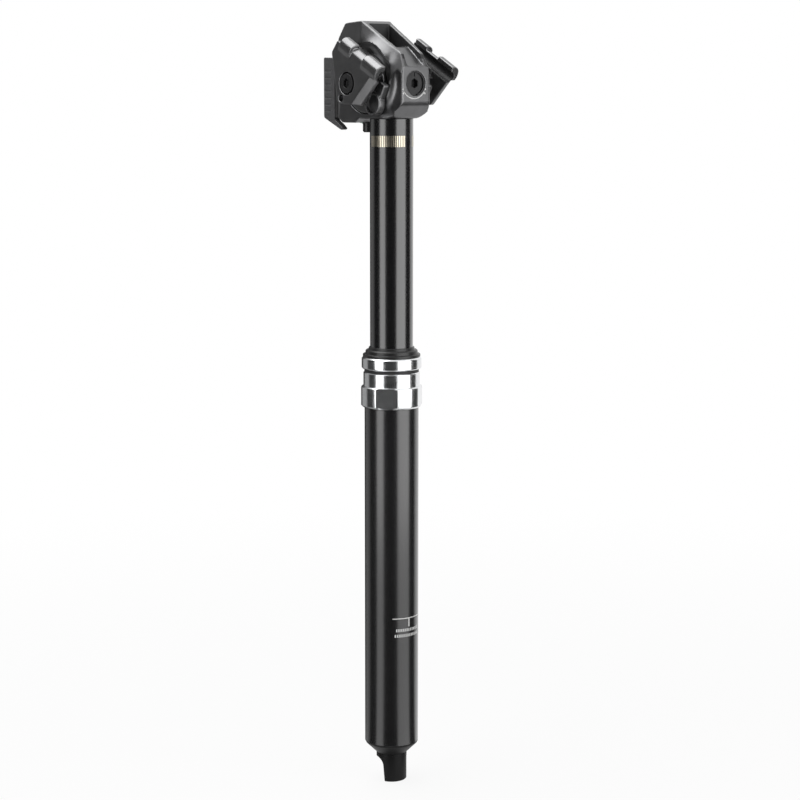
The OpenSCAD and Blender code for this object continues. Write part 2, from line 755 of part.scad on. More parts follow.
module battery() color([0.1, 0.1, 0.1]) {
  prong_front = battery_x + 7.6;
  prong_w = 4;
  side = rounded([[battery_x, battery_top - 0.5, 0.5], [battery_back + 1.4, battery_top, 0.8],
    [battery_back, battery_top - 2.6, 1.5], [battery_back, 2.2, 2], [battery_back + 1.6, 0, 2],
    [prong_front - 1.6, -battery_lip_drop, 0.8], [prong_front, -battery_lip_drop + 0.9, 0.5],
    [battery_x + 4.2, -belly_drop - 0.9, 0.8], [battery_x, -1, 0.8]]);
  top = rounded(both_sides([[prong_front, battery_half_w, 1], [battery_back, battery_half_w, 2.5]]));
  groove_w = 1;
  groove_pitch = (battery_top - 8) / grip_count;
  tall = 2 * battery_top;
  difference() {
    head_frame() intersection() {
      slab_y(side, -tall, tall);
      translate([0, 0, -tall / 2]) linear_extrude(2 * tall) polygon(top);
    }
    head_frame() {
      // Gap between the two prongs under the head
      translate([battery_back - cut, prong_w - battery_half_w, -2 * battery_lip_drop])
        cube([2 * tall, 2 * (battery_half_w - prong_w), 2 * battery_lip_drop + 0.6]);
      // Grip grooves on both sides
      for (way = [-1, 1], i = [0:grip_count - 1])
        translate([battery_back + 2, way * battery_half_w - 0.5, 3.4 + i * groove_pitch])
          cube([battery_t - 5, 1, groove_w]);
      // Sockets of the contacts and notch of the latch
      for (i = [-1:1])
        translate([0, i * contact_spacing, contact_z])
          bar_x(contact_r + 0.5, battery_x - 1.4, battery_x + cut);
      translate([latch_x - latch_reach + 0.8, -latch_w / 2 - gap, battery_top - 1.2])
        cube([5, latch_w + 2 * gap, 2]);
    }
  }
}

module battery_latch() color([0.1, 0.1, 0.1]) {
  lever_t = 1.6;
  claw_x = latch_x - latch_reach + 2.6;
  side = rounded([[latch_x - 2.2, latch_h + 1.1, 0.5], [latch_x - latch_reach, latch_h + 1.3, 0.5],
    [latch_x - latch_reach - 0.6, latch_h - lever_t + 1.4, 0.5], [claw_x - 1.4, latch_h - 2, 0],
    [claw_x - 1.4, battery_top - 0.6, 0.3], [claw_x, battery_top - 0.6, 0.3], [claw_x, latch_h - 1, 0],
    [latch_x - 2.2, latch_h - 1, 0]]);
  difference() {
    head_frame() {
      slab_y(side, -latch_w / 2, latch_w / 2);
      translate([latch_x, 0, latch_h]) bar_y(1.5, -latch_w / 2, latch_w / 2);
      translate([latch_x - 2.6, -latch_w / 2, latch_h - 1]) cube([2.2, latch_w, 1.9]);
    }
    head_frame() translate([latch_x, 0, latch_h]) bar_y(latch_pin_r + fit, -latch_w, latch_w);
  }
}

module latch_pin() color([0.6, 0.6, 0.62]) {
  pin_half = latch_w / 2 + gap + 2;
  head_frame() translate([latch_x, 0, latch_h]) bar_y(latch_pin_r, -pin_half, pin_half);
}

module function_button() color([0.06, 0.06, 0.06]) {
  edge = 0.5;
  button_frame() {
    bar_z(button_d / 2, edge - button_len, button_flange_z + 0.1);
    bar_z(button_d / 2 - edge, -button_len, edge - button_len);
    bar_z(button_flange_r, button_flange_z + 0.1, button_flange_z + 1.3);
  }
}

module button_switch() color([0.2, 0.2, 0.2]) {
  button_frame() {
    translate([-switch_half_w, -switch_half_w, switch_z])
      cube([2 * switch_half_w, 2 * switch_half_w, switch_h]);
    bar_z(1.2, button_flange_z + 1.95, switch_z);
  }
}

module status_lens() color([0.3, 0.6, 0.4])
  button_frame() translate([-lens_back, 0, 0]) bar_z(lens_r, -0.4, lens_sink);

module cradle_hub() color([0.5, 0.5, 0.52]) {
  slot_half_y = adjuster_throw + ball_r + 0.3;
  difference() {
    translate([hub_x, 0, hub_z]) bar_y(hub_r, -cradle_face, cradle_face);
    translate([hub_x, 0, hub_z]) bar_y(bolt_d / 2 + gap, -cradle_face - cut, cradle_face + cut);
    translate([ball_x - ball_r - 0.4, -slot_half_y, hub_z - ball_r - slot_room])
      cube([hub_r, 2 * slot_half_y, 2 * (ball_r + slot_room)]);
  }
}

// Left inner clamp: a disc in the head's recess and the inner half of the rail seat
module inner_clamp() {
  rear = 1 - clamp_rear;
  seat_top = rail_v + 2;
  seat_front = clamp_front - 5.7;
  web_front = seat_front - 4.5;
  lip_face = rail_y - rail_d / 2 - 1;
  web = rounded([[rear, seat_top, 2], [web_front, seat_top, 2], [web_front, 9, 2], [8, 2, 2], [-9, 2, 2],
    [rear, 8, 3]]);
  lip = rounded([[rear, seat_top, 2], [seat_front, seat_top, 2], [seat_front, rail_v - 4.5, 2],
    [rear, rail_v - 4.5, 2]]);
  hole = [guide_pin_at.x, 0, guide_pin_at.y];
  // Round stop, and the rib from it to just below the seat
  stop = [15.6, 0, -4.3];
  stop_r = 6.8;
  stop_h = 4.6;
  rib_rear = stop.x - 1;
  rib_front = stop.x + stop_r - 2.2;
  rib_top = rail_v - rail_d / 2 - 2.3;
  rib = rounded([[rib_rear, stop.z, 1], [rib_rear, rib_top, 1.2], [rib_front, rib_top, 1.2],
    [rib_front, stop.z, 1]]);
  difference() {
    clamp_frame() {
      bar_y(disc_r, cradle_face, plate_face);
      slab_y(web, plate_face, inner_edge);
      slab_y(lip, lip_face, inner_edge);
      bar_y(boss_r + 2.5, plate_face, boss_face - gap);
      translate(hole) bar_y(guide_boss_r, plate_face, boss_face - gap);
      translate(stop) bar_y(stop_r, plate_face, plate_face + stop_h);
      slab_y(rib, plate_face, plate_face + stop_h - 0.8);
    }
    clamp_frame() {
      bar_y(bolt_d / 2 + gap, 0, 2 * rail_y);
      bar_y(boss_r + gap, boss_face - gap, 2 * rail_y);
      translate([0, rail_y, rail_v]) bar_x(rail_d / 2, -2 * clamp_rear, 2 * clamp_front);
      translate(hole) bar_y(guide_pin_d / 2, plate_face, 2 * rail_y);
      translate(stop) bar_y(stop_r - 1.5, plate_face + stop_h - 2, 2 * rail_y);
    }
  }
}

module inner_clamp_left() color([0.16, 0.16, 0.17]) inner_clamp();

module inner_clamp_right() color([0.16, 0.16, 0.17]) mirror([0, 1, 0]) inner_clamp();

module guide_pins() color([0.6, 0.6, 0.62]) {
  // The left pin reaches into the open clamp, and the right one ends below its clamp's face
  pin_ends = [outer_face - 1, outer_edge + 0.6];
  for (side = [0, 1])
    mirror([0, side, 0]) clamp_frame() translate([guide_pin_at.x, 0, guide_pin_at.y])
      bar_y(guide_pin_d / 2, plate_face, pin_ends[side]);
}

// Bar along the rail with a rounded outer edge, between two places on the rail
module rail_bar(u0, u1, pad, rise) {
  low = rail_v - 2;
  face = outer_face + pad;
  top = clamp_top + rise;
  // A pad stands out on a slope from the plate's face
  outline = concat([[outer_edge, low], [outer_face, low]], pad > 0 ? [[face, low + 2.5]] : [],
    arc([face - clamp_edge_r, top - clamp_edge_r], clamp_edge_r, 0, 90), [[outer_edge, top]]);
  translate([u0, 0, 0]) rotate([90, 0, 90]) linear_extrude(u1 - u0) polygon(outline);
}

// Left outer clamp: the outer half of the rail seat on a three-cornered plate
module outer_clamp(bolt_hole_r) {
  rear_pad_len = 10.5;
  front_pad_len = 14;
  pad = 0.8;
  // Between the two pads the bar lies lower
  bar_drop = 1.1;
  rear_top = [-clamp_rear - 3.4, rail_v + 3];
  rear_corner = [-clamp_rear - 5.2, rail_v - 5.8];
  top_corner = [clamp_front - 0.7, rail_v - 3];
  foot_corner = [13.9, -6.7];
  outline = rounded([[rear_top.x, rear_top.y, 1.5], [rear_corner.x, rear_corner.y, 2], [-2.3, -14, 3],
    [foot_corner.x, foot_corner.y, 3], [top_corner.x, top_corner.y, 1.5], [clamp_front, rail_v, 0],
    [rear_pad_len - clamp_rear - 2, rail_v, 0]]);
  hole = [guide_pin_at.x, 0, guide_pin_at.y];
  // The front edge of the plate is bevelled from its outer face
  edge = top_corner - foot_corner;
  bevel_w = 4;
  bevel_t = 2.6;
  bevel_side = 2 * norm(edge);
  difference() {
    clamp_frame() {
      difference() {
        slab_y(outline, outer_edge, outer_face);
        translate([foot_corner.x, outer_face - bevel_t, foot_corner.y]) rotate([0, atan2(edge.x, edge.y), 0])
          rotate([0, 0, atan2(bevel_w, bevel_t)]) translate([0, -bevel_side, -bevel_side])
            cube([bevel_side, 2 * bevel_side, 2 * bevel_side]);
      }
      rail_bar(-clamp_rear, clamp_front, 0, -bar_drop);
      rail_bar(-clamp_rear, rear_pad_len - clamp_rear, pad, pad);
      rail_bar(clamp_front - front_pad_len, clamp_front, pad, pad);
      bar_y(boss_r, boss_face, outer_edge + cut);
      translate(hole) bar_y(guide_boss_r, boss_face, outer_edge + cut);
    }
    clamp_frame() {
      translate([0, rail_y, rail_v]) bar_x(rail_d / 2, -2 * clamp_rear, 2 * clamp_front);
      bar_y(bolt_hole_r, 0, 2 * rail_y);
      bar_y(counterbore_d / 2, bolt_seat, 2 * rail_y);
      translate(hole) bar_y(guide_pin_d / 2 + fit, 0, 2 * rail_y);
    }
  }
}

module outer_clamp_left() color([0.15, 0.15, 0.16]) translate([0, clamp_open, 0]) outer_clamp(nut_sleeve_r);

module outer_clamp_right() color([0.15, 0.15, 0.16]) mirror([0, 1, 0]) outer_clamp(bolt_d / 2 + 2 * fit);

module clamp_bolt() color([0.12, 0.12, 0.12]) {
  head_y = bolt_seat + washer_t;
  socket_floor = 0.8;
  difference() {
    clamp_frame() {
      bar_y(bolt_d / 2, -head_y, outer_face);
      bar_y(bolt_head_d / 2, -head_y - bolt_head_h, -head_y);
    }
    clamp_frame() translate([0, -head_y - socket_floor, 0]) rotate([90, 0, 0])
      cylinder(r = socket_r, h = 2 * bolt_head_h, $fn = 6);
  }
}

module bolt_washer() color([0.6, 0.6, 0.62]) {
  difference() {
    clamp_frame() bar_y(bolt_head_d / 2, -bolt_seat - washer_t, -bolt_seat);
    clamp_frame() bar_y(bolt_d / 2 + 2 * fit, -2 * rail_y, 0);
  }
}

module clamp_nut() color([0.55, 0.55, 0.57]) {
  translate([0, clamp_open, 0]) difference() {
    clamp_frame() {
      bar_y(nut_sleeve_r, boss_face, bolt_seat);
      bar_y(bolt_head_d / 2, bolt_seat, bolt_seat + nut_flange_h);
    }
    clamp_frame() bar_y(bolt_d / 2 + fit, 0, 2 * rail_y);
  }
}

module tilt_adjuster() color([0.2, 0.2, 0.2]) {
  shank_end = hub_x + hub_r + 1.5;
  translate([0, 0, hub_z]) {
    difference() {
      union() {
        bar_x(adjuster_d / 2, adjuster_back, adjuster_face);
        bar_x(adjuster_shank_r, shank_end, adjuster_back);
      }
      translate([adjuster_face - 3, 0, 0]) rotate([0, 90, 0]) cylinder(r = socket_r, h = 4, $fn = 6);
      translate([adjuster_face - 0.4, -0.4, adjuster_d / 2 - 3]) cube([1, 0.8, 4]);
    }
    translate([0, adjuster_throw, 0]) {
      bar_x(adjuster_neck_r, ball_x, shank_end + cut);
      translate([ball_x, 0, 0]) sphere(r = ball_r);
    }
  }
}

module adjuster_clip() color([0.3, 0.3, 0.3]) {
  clip_r = adjuster_d / 2 + 0.6;
  mouth = 3;
  translate([0, 0, hub_z]) difference() {
    bar_x(clip_r, clip_x, clip_x + clip_t);
    bar_x(clip_r - 1.2, clip_x - cut, clip_x + clip_t + cut);
    translate([clip_x - cut, -mouth / 2, -2 * clip_r]) cube([clip_t + 2 * cut, mouth, 2 * clip_r]);
  }
}

outer_tube();
end_cap();
top_collar();
wiper_seal();
foam_ring();
upper_bushing();
inner_shaft();
shaft_piston();
piston_seal();
piston_nut();
air_valve();
valve_pin();
valve_cap();
stanchion();
lower_bushing();
guide_keys();
seal_head();
damper_sleeve();
damper_o_rings();
floating_piston();
floating_piston_seals();
valve_body();
valve_plunger();
valve_screw();
motor_gearbox();
valve_motor();
head();
control_board();
battery_mount();
battery_contacts();
battery();
battery_latch();
latch_pin();
function_button();
button_switch();
status_lens();
cradle_hub();
inner_clamp_right();
inner_clamp_left();
guide_pins();
outer_clamp_right();
outer_clamp_left();
clamp_bolt();
bolt_washer();
clamp_nut();
tilt_adjuster();
adjuster_clip();
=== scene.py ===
# %% [markdown]
# # A dropper seatpost
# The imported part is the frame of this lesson. It holds every solid at its true size and place, so
# the work here is looks: soft forged edges, turned metal, black finishes, printed marks and
# a plain studio. Sizes are written in millimetres and turned into metres by MM.

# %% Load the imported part
import json
import math

import bmesh
import bpy
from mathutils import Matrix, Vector


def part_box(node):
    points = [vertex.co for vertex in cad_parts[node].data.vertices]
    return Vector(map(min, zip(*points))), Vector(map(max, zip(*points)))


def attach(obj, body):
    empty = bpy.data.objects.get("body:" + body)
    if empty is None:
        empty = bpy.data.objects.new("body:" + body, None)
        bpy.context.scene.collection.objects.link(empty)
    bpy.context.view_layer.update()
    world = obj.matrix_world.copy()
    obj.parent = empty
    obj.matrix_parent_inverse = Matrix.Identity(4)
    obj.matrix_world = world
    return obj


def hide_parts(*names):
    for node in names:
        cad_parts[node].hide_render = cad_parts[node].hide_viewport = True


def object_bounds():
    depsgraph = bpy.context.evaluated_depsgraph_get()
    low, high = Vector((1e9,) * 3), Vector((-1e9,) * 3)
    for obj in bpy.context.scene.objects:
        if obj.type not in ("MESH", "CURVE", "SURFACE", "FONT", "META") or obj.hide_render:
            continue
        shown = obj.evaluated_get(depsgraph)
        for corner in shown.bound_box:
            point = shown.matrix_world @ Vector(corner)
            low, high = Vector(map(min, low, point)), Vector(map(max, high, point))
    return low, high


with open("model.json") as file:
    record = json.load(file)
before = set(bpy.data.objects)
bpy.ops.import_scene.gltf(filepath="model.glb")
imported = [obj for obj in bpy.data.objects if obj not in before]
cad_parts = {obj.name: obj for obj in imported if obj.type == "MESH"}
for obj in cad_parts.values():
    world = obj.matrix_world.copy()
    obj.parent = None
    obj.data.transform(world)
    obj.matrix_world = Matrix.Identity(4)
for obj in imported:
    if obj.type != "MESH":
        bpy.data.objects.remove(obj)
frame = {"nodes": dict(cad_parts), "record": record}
cad_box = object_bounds()
MM = 0.001
nodes = frame["nodes"]
record = frame["record"]
body_of = {n: body for body, names in record["behaviour"]["bodies"].items() for n in names}
slot_of = {s["node"]: s["material_slot"] for s in record["subparts"]}

# %% [markdown]
# ## Camera
# The photograph looks at the front right of the post from a little above. The camera stands on that
# line, pitched down, with a long lens so that the tubes stay nearly parallel. Small shifts put the
# post where it stands in the photograph's frame.

# %% Camera
IMAGE = 800
AZIMUTH = math.radians(-40)
DISTANCE = 1200 * MM
CAMERA_Z = 184 * MM
PITCH = math.radians(8.5)
AXIS_LEFT_PX = 8.4
RAISED_PX = 2
LENS_MM, SENSOR_MM = 93.5, 36
toward_camera = Vector((math.cos(AZIMUTH), math.sin(AZIMUTH), 0))
camera_data = bpy.data.cameras.new("camera")
camera_data.lens = LENS_MM
camera_data.sensor_width = SENSOR_MM
camera_data.shift_x = AXIS_LEFT_PX / IMAGE
camera_data.shift_y = -RAISED_PX / IMAGE
camera_data.clip_start = 0.01
camera = bpy.data.objects.new("camera", camera_data)
bpy.context.scene.collection.objects.link(camera)
camera.location = toward_camera * DISTANCE + Vector((0, 0, CAMERA_Z))
camera.rotation_euler = (math.pi / 2 - PITCH, 0, AZIMUTH + math.pi / 2)
bpy.context.scene.camera = camera
bpy.context.scene.view_settings.view_transform = "Standard"
print("camera at", [round(v, 3) for v in camera.location])

# %% [markdown]
# ## Studio
# Gloss black tubes show nothing but what they reflect, so the lights are placed by their
# reflections: a narrow strip on the left and a broad box on the right give the two long streaks on
# the tubes, and a box overhead lights the forged head. Floor and backdrop are white to the camera
# and to metal alike. Black and grey cards stand round the post, as a photographer sets them to
# draw dark bands on bright metal, and two bright papers carry the streaks down to the floor. The
# camera doesn't see them, and they cast no shadow.

# %% Floor and backdrop
SHARP_RAYS = ("Is Camera Ray", "Is Glossy Ray", "Is Transmission Ray")


def link(tree, source, target):
    tree.links.new(source, target)


def node(tree, kind, **values):
    made = tree.nodes.new(kind)
    for name, value in values.items():
        setattr(made, name, value)
    return made


def any_of(tree, path, *rays):
    """1 for any of these kinds of ray, and 0 for the rest."""
    total = path.outputs[rays[0]]
    for name in rays[1:]:
        more = node(tree, "ShaderNodeMath", operation="MAXIMUM")
        link(tree, total, more.inputs[0])
        link(tree, path.outputs[name], more.inputs[1])
        total = more.outputs[0]
    return total


floor_mesh = bpy.data.meshes.new("floor")
FLOOR_HALF, FLOOR_GAP = 6.0, 0.2 * MM
floor_z = cad_box[0][2] - FLOOR_GAP
floor_corners = [(x * FLOOR_HALF, y * FLOOR_HALF, floor_z)
                 for x, y in ((-1, -1), (1, -1), (1, 1), (-1, 1))]
floor_mesh.from_pydata(floor_corners, [], [(0, 1, 2, 3)])
floor = bpy.data.objects.new("floor", floor_mesh)
bpy.context.scene.collection.objects.link(floor)
floor_paper = bpy.data.materials.new("floor_paper")
floor_paper.use_nodes = True
tree = floor_paper.node_tree
tree.nodes.clear()
paper = node(tree, "ShaderNodeBsdfDiffuse")
paper.inputs["Color"].default_value = (0.8, 0.8, 0.8, 1)
glow = node(tree, "ShaderNodeEmission")
seen = node(tree, "ShaderNodeLightPath")
where = node(tree, "ShaderNodeTexCoord")
away = node(tree, "ShaderNodeVectorMath", operation="LENGTH")
whiter = node(tree, "ShaderNodeMapRange", interpolation_type="SMOOTHSTEP")
for name, value in (("From Min", 0.25), ("From Max", 0.9), ("To Min", 0.9), ("To Max", 1.0)):
    whiter.inputs[name].default_value = value
share = node(tree, "ShaderNodeMath", operation="MULTIPLY")
blend = node(tree, "ShaderNodeMixShader")
out = node(tree, "ShaderNodeOutputMaterial")
link(tree, where.outputs["Object"], away.inputs[0])
link(tree, away.outputs["Value"], whiter.inputs["Value"])
link(tree, whiter.outputs["Result"], share.inputs[1])
link(tree, any_of(tree, seen, *SHARP_RAYS), share.inputs[0])
link(tree, share.outputs[0], blend.inputs[0])
link(tree, paper.outputs[0], blend.inputs[1])
link(tree, glow.outputs[0], blend.inputs[2])
link(tree, blend.outputs[0], out.inputs[0])
floor_mesh.materials.append(floor_paper)

world = bpy.data.worlds.new("studio")
bpy.context.scene.world = world
world.use_nodes = True
tree = world.node_tree
tree.nodes.clear()
white = node(tree, "ShaderNodeBackground")
white.inputs["Color"].default_value = (1, 1, 1, 1)
room = node(tree, "ShaderNodeBackground")
room.inputs["Color"].default_value = (0.3, 0.3, 0.3, 1)
seen = node(tree, "ShaderNodeLightPath")
blend = node(tree, "ShaderNodeMixShader")
out = node(tree, "ShaderNodeOutputWorld")
link(tree, any_of(tree, seen, *SHARP_RAYS), blend.inputs[0])
link(tree, room.outputs[0], blend.inputs[1])
link(tree, white.outputs[0], blend.inputs[2])
link(tree, blend.outputs[0], out.inputs[0])
print("floor at", round(floor_z, 4))

# %% Cards
CARD_NEAR, CARD_FAR, CARD_TOP, CARD_LIFT = 0.04, 1.8, 1.6, 0.1 * MM


def card(name, first, last, grey):
    """A card that lies on the floor and bends up, between two angles from the camera's direction."""
    mesh = bpy.data.meshes.new(name)
    corners, faces = [], []
    steps = max(2, round((last - first) / 6))
    for i in range(steps + 1):
        angle = AZIMUTH + math.radians(first + (last - first) * i / steps)
        for reach, z in ((CARD_NEAR, floor_z), (CARD_FAR, floor_z), (CARD_FAR, CARD_TOP)):
            corners.append((reach * math.cos(angle), reach * math.sin(angle), z + CARD_LIFT))
    for i in range(steps):
        for j in (0, 1):
            k = 3 * i + j
            faces.append((k, k + 1, k + 4, k + 3))
    mesh.from_pydata(corners, [], faces)
    stock = bpy.data.materials.new(name)
    stock.use_nodes = True
    tree = stock.node_tree
    tree.nodes.clear()
    shade = node(tree, "ShaderNodeEmission")
    shade.inputs["Color"].default_value = (grey, grey, grey, 1)
    out = node(tree, "ShaderNodeOutputMaterial")
    link(tree, shade.outputs[0], out.inputs[0])
    mesh.materials.append(stock)
    made = bpy.data.objects.new(name, mesh)
    bpy.context.scene.collection.objects.link(made)
    made.visible_camera = made.visible_shadow = made.visible_diffuse = False


for name, first, last, grey in (
        ("card_front", -34, 25, 0.03), ("card_right", 79, 115, 0.03), ("card_left", -105, -65, 0.03),
        ("card_left_rear", -141, -105, 0.36), ("card_rear", -180, -141, 0.05),
        ("paper_left", -65, -34, 1.25), ("paper_right", 25, 79, 1.25)):
    card(name, first, last, grey)
print("cards at", CARD_FAR, "m")

# %% Lights
AIM_AT = Vector((0, 0, 0.1))


def softbox(name, turn, distance, z, width, height, radiance):
    """A lit box at an angle from the camera's own direction, facing the post."""
    data = bpy.data.lights.new(name, "AREA")
    data.shape = "RECTANGLE"
    data.size, data.size_y = width, height
    data.energy = radiance * math.pi * width * height
    lamp = bpy.data.objects.new(name, data)
    bpy.context.scene.collection.objects.link(lamp)
    angle = AZIMUTH + math.radians(turn)
    lamp.location = (distance * math.cos(angle), distance * math.sin(angle), z)
    aim = AIM_AT - lamp.location
    lamp.rotation_euler = aim.to_track_quat("-Z", "Y").to_euler()


softbox("left_strip", -49.5, 0.9, 0.12, 0.5, 1.3, 1.3)
softbox("right_box", 52, 0.9, 0.12, 0.9, 1.3, 1.4)
softbox("top_box", -118, 0.42, 1.15, 1.6, 0.8, 3.2)

# %% [markdown]
# ## Finishes
# Each finish is a Principled shader whose colour, roughness and fine relief come from noise on
# Object coordinates. Every piece sits at the origin, so the grain has the same scale everywhere.
# A turned part gets noise squeezed along the axis, which draws the fine rings of the lathe tool.

# %% Finish builder
CLOUD_SHARE = 0.08


def finish(name, color, spread, rough, rough_spread=0.05, metallic=0.0, grain=1200, relief=0.02,
           stretch=(1, 1, 1), coat=0.0, coat_rough=0.05, specular=0.5):
    """A material whose colour varies by a spread, with grain of that many cells per metre."""
    made = bpy.data.materials.new(name)
    made.use_nodes = True
    tree = made.node_tree
    shader = tree.nodes["Principled BSDF"]
    shader.inputs["Metallic"].default_value = metallic
    shader.inputs["Specular IOR Level"].default_value = specular
    shader.inputs["Coat Weight"].default_value = coat
    shader.inputs["Coat Roughness"].default_value = coat_rough
    where = node(tree, "ShaderNodeTexCoord")
    scale = node(tree, "ShaderNodeMapping")
    scale.inputs["Scale"].default_value = stretch
    cloud = node(tree, "ShaderNodeTexNoise")
    cloud.inputs["Scale"].default_value = grain * CLOUD_SHARE
    cloud.inputs["Detail"].default_value = 3
    fine = node(tree, "ShaderNodeTexNoise")
    fine.inputs["Scale"].default_value = grain
    fine.inputs["Detail"].default_value = 4
    tint = node(tree, "ShaderNodeValToRGB")
    for stop, share in zip(tint.color_ramp.elements, (1 - spread, 1 + spread)):
        stop.color = (*[min(1, c * share) for c in color], 1)
    tint.color_ramp.elements[0].position = 0.3
    tint.color_ramp.elements[1].position = 0.7
    gloss = node(tree, "ShaderNodeMapRange")
    gloss.inputs["To Min"].default_value = rough - rough_spread
    gloss.inputs["To Max"].default_value = rough + rough_spread
    bump = node(tree, "ShaderNodeBump")
    bump.inputs["Strength"].default_value = 1
    bump.inputs["Distance"].default_value = relief * MM
    link(tree, where.outputs["Object"], scale.inputs["Vector"])
    link(tree, scale.outputs[0], cloud.inputs["Vector"])
    link(tree, scale.outputs[0], fine.inputs["Vector"])
    link(tree, cloud.outputs["Fac"], tint.inputs["Fac"])
    link(tree, tint.outputs["Color"], shader.inputs["Base Color"])
    link(tree, fine.outputs["Fac"], gloss.inputs["Value"])
    link(tree, gloss.outputs["Result"], shader.inputs["Roughness"])
    link(tree, fine.outputs["Fac"], bump.inputs["Height"])
    link(tree, bump.outputs["Normal"], shader.inputs["Normal"])
    return made


RINGS = (0.05, 0.05, 1)
finishes = {
    "anodised_lower": finish("anodised_lower", (0.009, 0.009, 0.0095), 0.08, 0.25, 0.02, grain=900,
                             relief=0.001, coat=0.75, coat_rough=0.22, specular=0.6),
    "gloss_stanchion": finish("gloss_stanchion", (0.004, 0.004, 0.0045), 0.1, 0.22, 0.015, grain=600,
                              relief=0.0004, coat=0.8, coat_rough=0.18, specular=0.75),
    "forged_head": finish("forged_head", (0.16, 0.16, 0.163), 0.1, 0.3, 0.04, 0.92, grain=1500,
                          relief=0.0012),
    "forged_clamp": finish("forged_clamp", (0.19, 0.19, 0.193), 0.1, 0.3, 0.04, 0.92, grain=1500,
                           relief=0.0012),
    "bare_collar": finish("bare_collar", (0.78, 0.79, 0.8), 0.04, 0.2, 0.05, 1.0, grain=2200, relief=0.004,
                          stretch=RINGS),
    "bare_alloy": finish("bare_alloy", (0.66, 0.66, 0.67), 0.06, 0.3, 0.06, 1.0, grain=2200, relief=0.005,
                         stretch=RINGS),
    "shaft_steel": finish("shaft_steel", (0.7, 0.7, 0.71), 0.05, 0.18, 0.04, 1.0, grain=1800, relief=0.002,
                          stretch=RINGS),
    "small_steel": finish("small_steel", (0.5, 0.5, 0.52), 0.08, 0.32, 0.06, 1.0, grain=2000, relief=0.004),
    "black_steel": finish("black_steel", (0.035, 0.035, 0.036), 0.12, 0.36, 0.05, 0.5, grain=2000,
                          relief=0.006),
    "valve_brass": finish("valve_brass", (0.72, 0.56, 0.28), 0.06, 0.28, 0.06, 1.0, grain=2000, relief=0.004,
                          stretch=RINGS),
    "seal_rubber": finish("seal_rubber", (0.012, 0.012, 0.012), 0.15, 0.36, 0.05, grain=2600, relief=0.004,
                          specular=0.5),
    "foam": finish("foam", (0.2, 0.2, 0.18), 0.25, 0.9, 0.05, grain=1800, relief=0.15),
    "bushing_polymer": finish("bushing_polymer", (0.35, 0.3, 0.2), 0.1, 0.5, 0.05, grain=1600, relief=0.005),
    "black_plastic": finish("black_plastic", (0.022, 0.022, 0.022), 0.12, 0.5, 0.06, grain=3000,
                            relief=0.012),
    "battery_plastic": finish("battery_plastic", (0.06, 0.06, 0.062), 0.1, 0.48, 0.06, grain=3000,
                              relief=0.014),
    "board_green": finish("board_green", (0.05, 0.2, 0.1), 0.2, 0.35, 0.05, grain=1500, relief=0.01),
    "lens_plastic": finish("lens_plastic", (0.3, 0.55, 0.4), 0.08, 0.2, 0.04, grain=1500, relief=0.002),
}
# A dark finish that paints shade into hollows: the collar's groove, the head's channel and the rail seats.
painted_shade = finish("painted_shade", (0.03, 0.03, 0.031), 0.2, 0.5, 0.06, 0.4, grain=1300, relief=0.01)
cap_black = finish("cap_black", (0.008, 0.008, 0.0082), 0.15, 0.42, 0.05, grain=1200, relief=0.004,
                   specular=0.15)
white_print = finish("white_print", (0.8, 0.8, 0.79), 0.05, 0.5, 0.05, grain=2500, relief=0.002)
gold_print = finish("gold_print", (0.66, 0.6, 0.47), 0.08, 0.3, 0.05, 1.0, grain=2500, relief=0.002)
print("finishes by slot", len(finishes))

# %% [markdown]
# ## Ways to make a piece
# A CAD node arrives as loose triangles with hard edges, and it is never changed. A piece starts as
# a merged copy of it. Machined pieces get a small bevel with weighted normals. Forged and moulded
# pieces are remeshed in small voxels and relaxed, which rounds every edge the way a die does.

# %% Mesh helpers
TURNED_SHARP, ROUND_STEPS, COLLAR_STEPS = 28, 256, 384


def object_from(name, mesh):
    made = bpy.data.objects.new(name, mesh)
    bpy.context.scene.collection.objects.link(made)
    return made


def merged_copy(name, *names):
    """One object with the merged triangles of these CAD nodes."""
    build = bmesh.new()
    for n in names:
        build.from_mesh(nodes[n].data)
    bmesh.ops.remove_doubles(build, verts=build.verts, dist=0.001 * MM)
    bmesh.ops.dissolve_limit(build, angle_limit=math.radians(0.5), verts=build.verts, edges=build.edges)
    mesh = bpy.data.meshes.new(name)
    build.to_mesh(mesh)
    build.free()
    mesh.materials.clear()
    return object_from(name, mesh)


def baked(piece):
    """The piece with its modifiers applied, as a plain mesh."""
    bpy.context.view_layer.update()
    mesh = bpy.data.meshes.new_from_object(piece.evaluated_get(bpy.context.evaluated_depsgraph_get()))
    old = piece.data
    piece.modifiers.clear()
    piece.data = mesh
    mesh.name = piece.name
    bpy.data.meshes.remove(old)
    return piece


def smooth(mesh, sharp_angle):
    mesh.polygons.foreach_set("use_smooth", [True] * len(mesh.polygons))
    mesh.set_sharp_from_angle(angle=math.radians(sharp_angle))


def bevelled(piece, width, sharp_angle=32):
    """Small machined edge breaks, with flat faces kept flat by weighted normals."""
    smooth(piece.data, sharp_angle)
    edge = piece.modifiers.new("edge", "BEVEL")
    edge.width, edge.segments = width * MM, 2
    edge.limit_method, edge.angle_limit = "ANGLE", math.radians(sharp_angle)
    edge.use_clamp_overlap = True
    baked(piece)
    smooth(piece.data, 60)
    piece.modifiers.new("normals", "WEIGHTED_NORMAL").keep_sharp = True
    return baked(piece)


def forged(piece, voxel, relax):
    """Edges rounded by a fine remesh that is then relaxed."""
    skin = piece.modifiers.new("skin", "REMESH")
    skin.mode, skin.voxel_size, skin.use_smooth_shade = "VOXEL", voxel * MM, True
    ease = piece.modifiers.new("ease", "SMOOTH")
    ease.factor, ease.iterations = 0.5, relax
    return baked(piece)


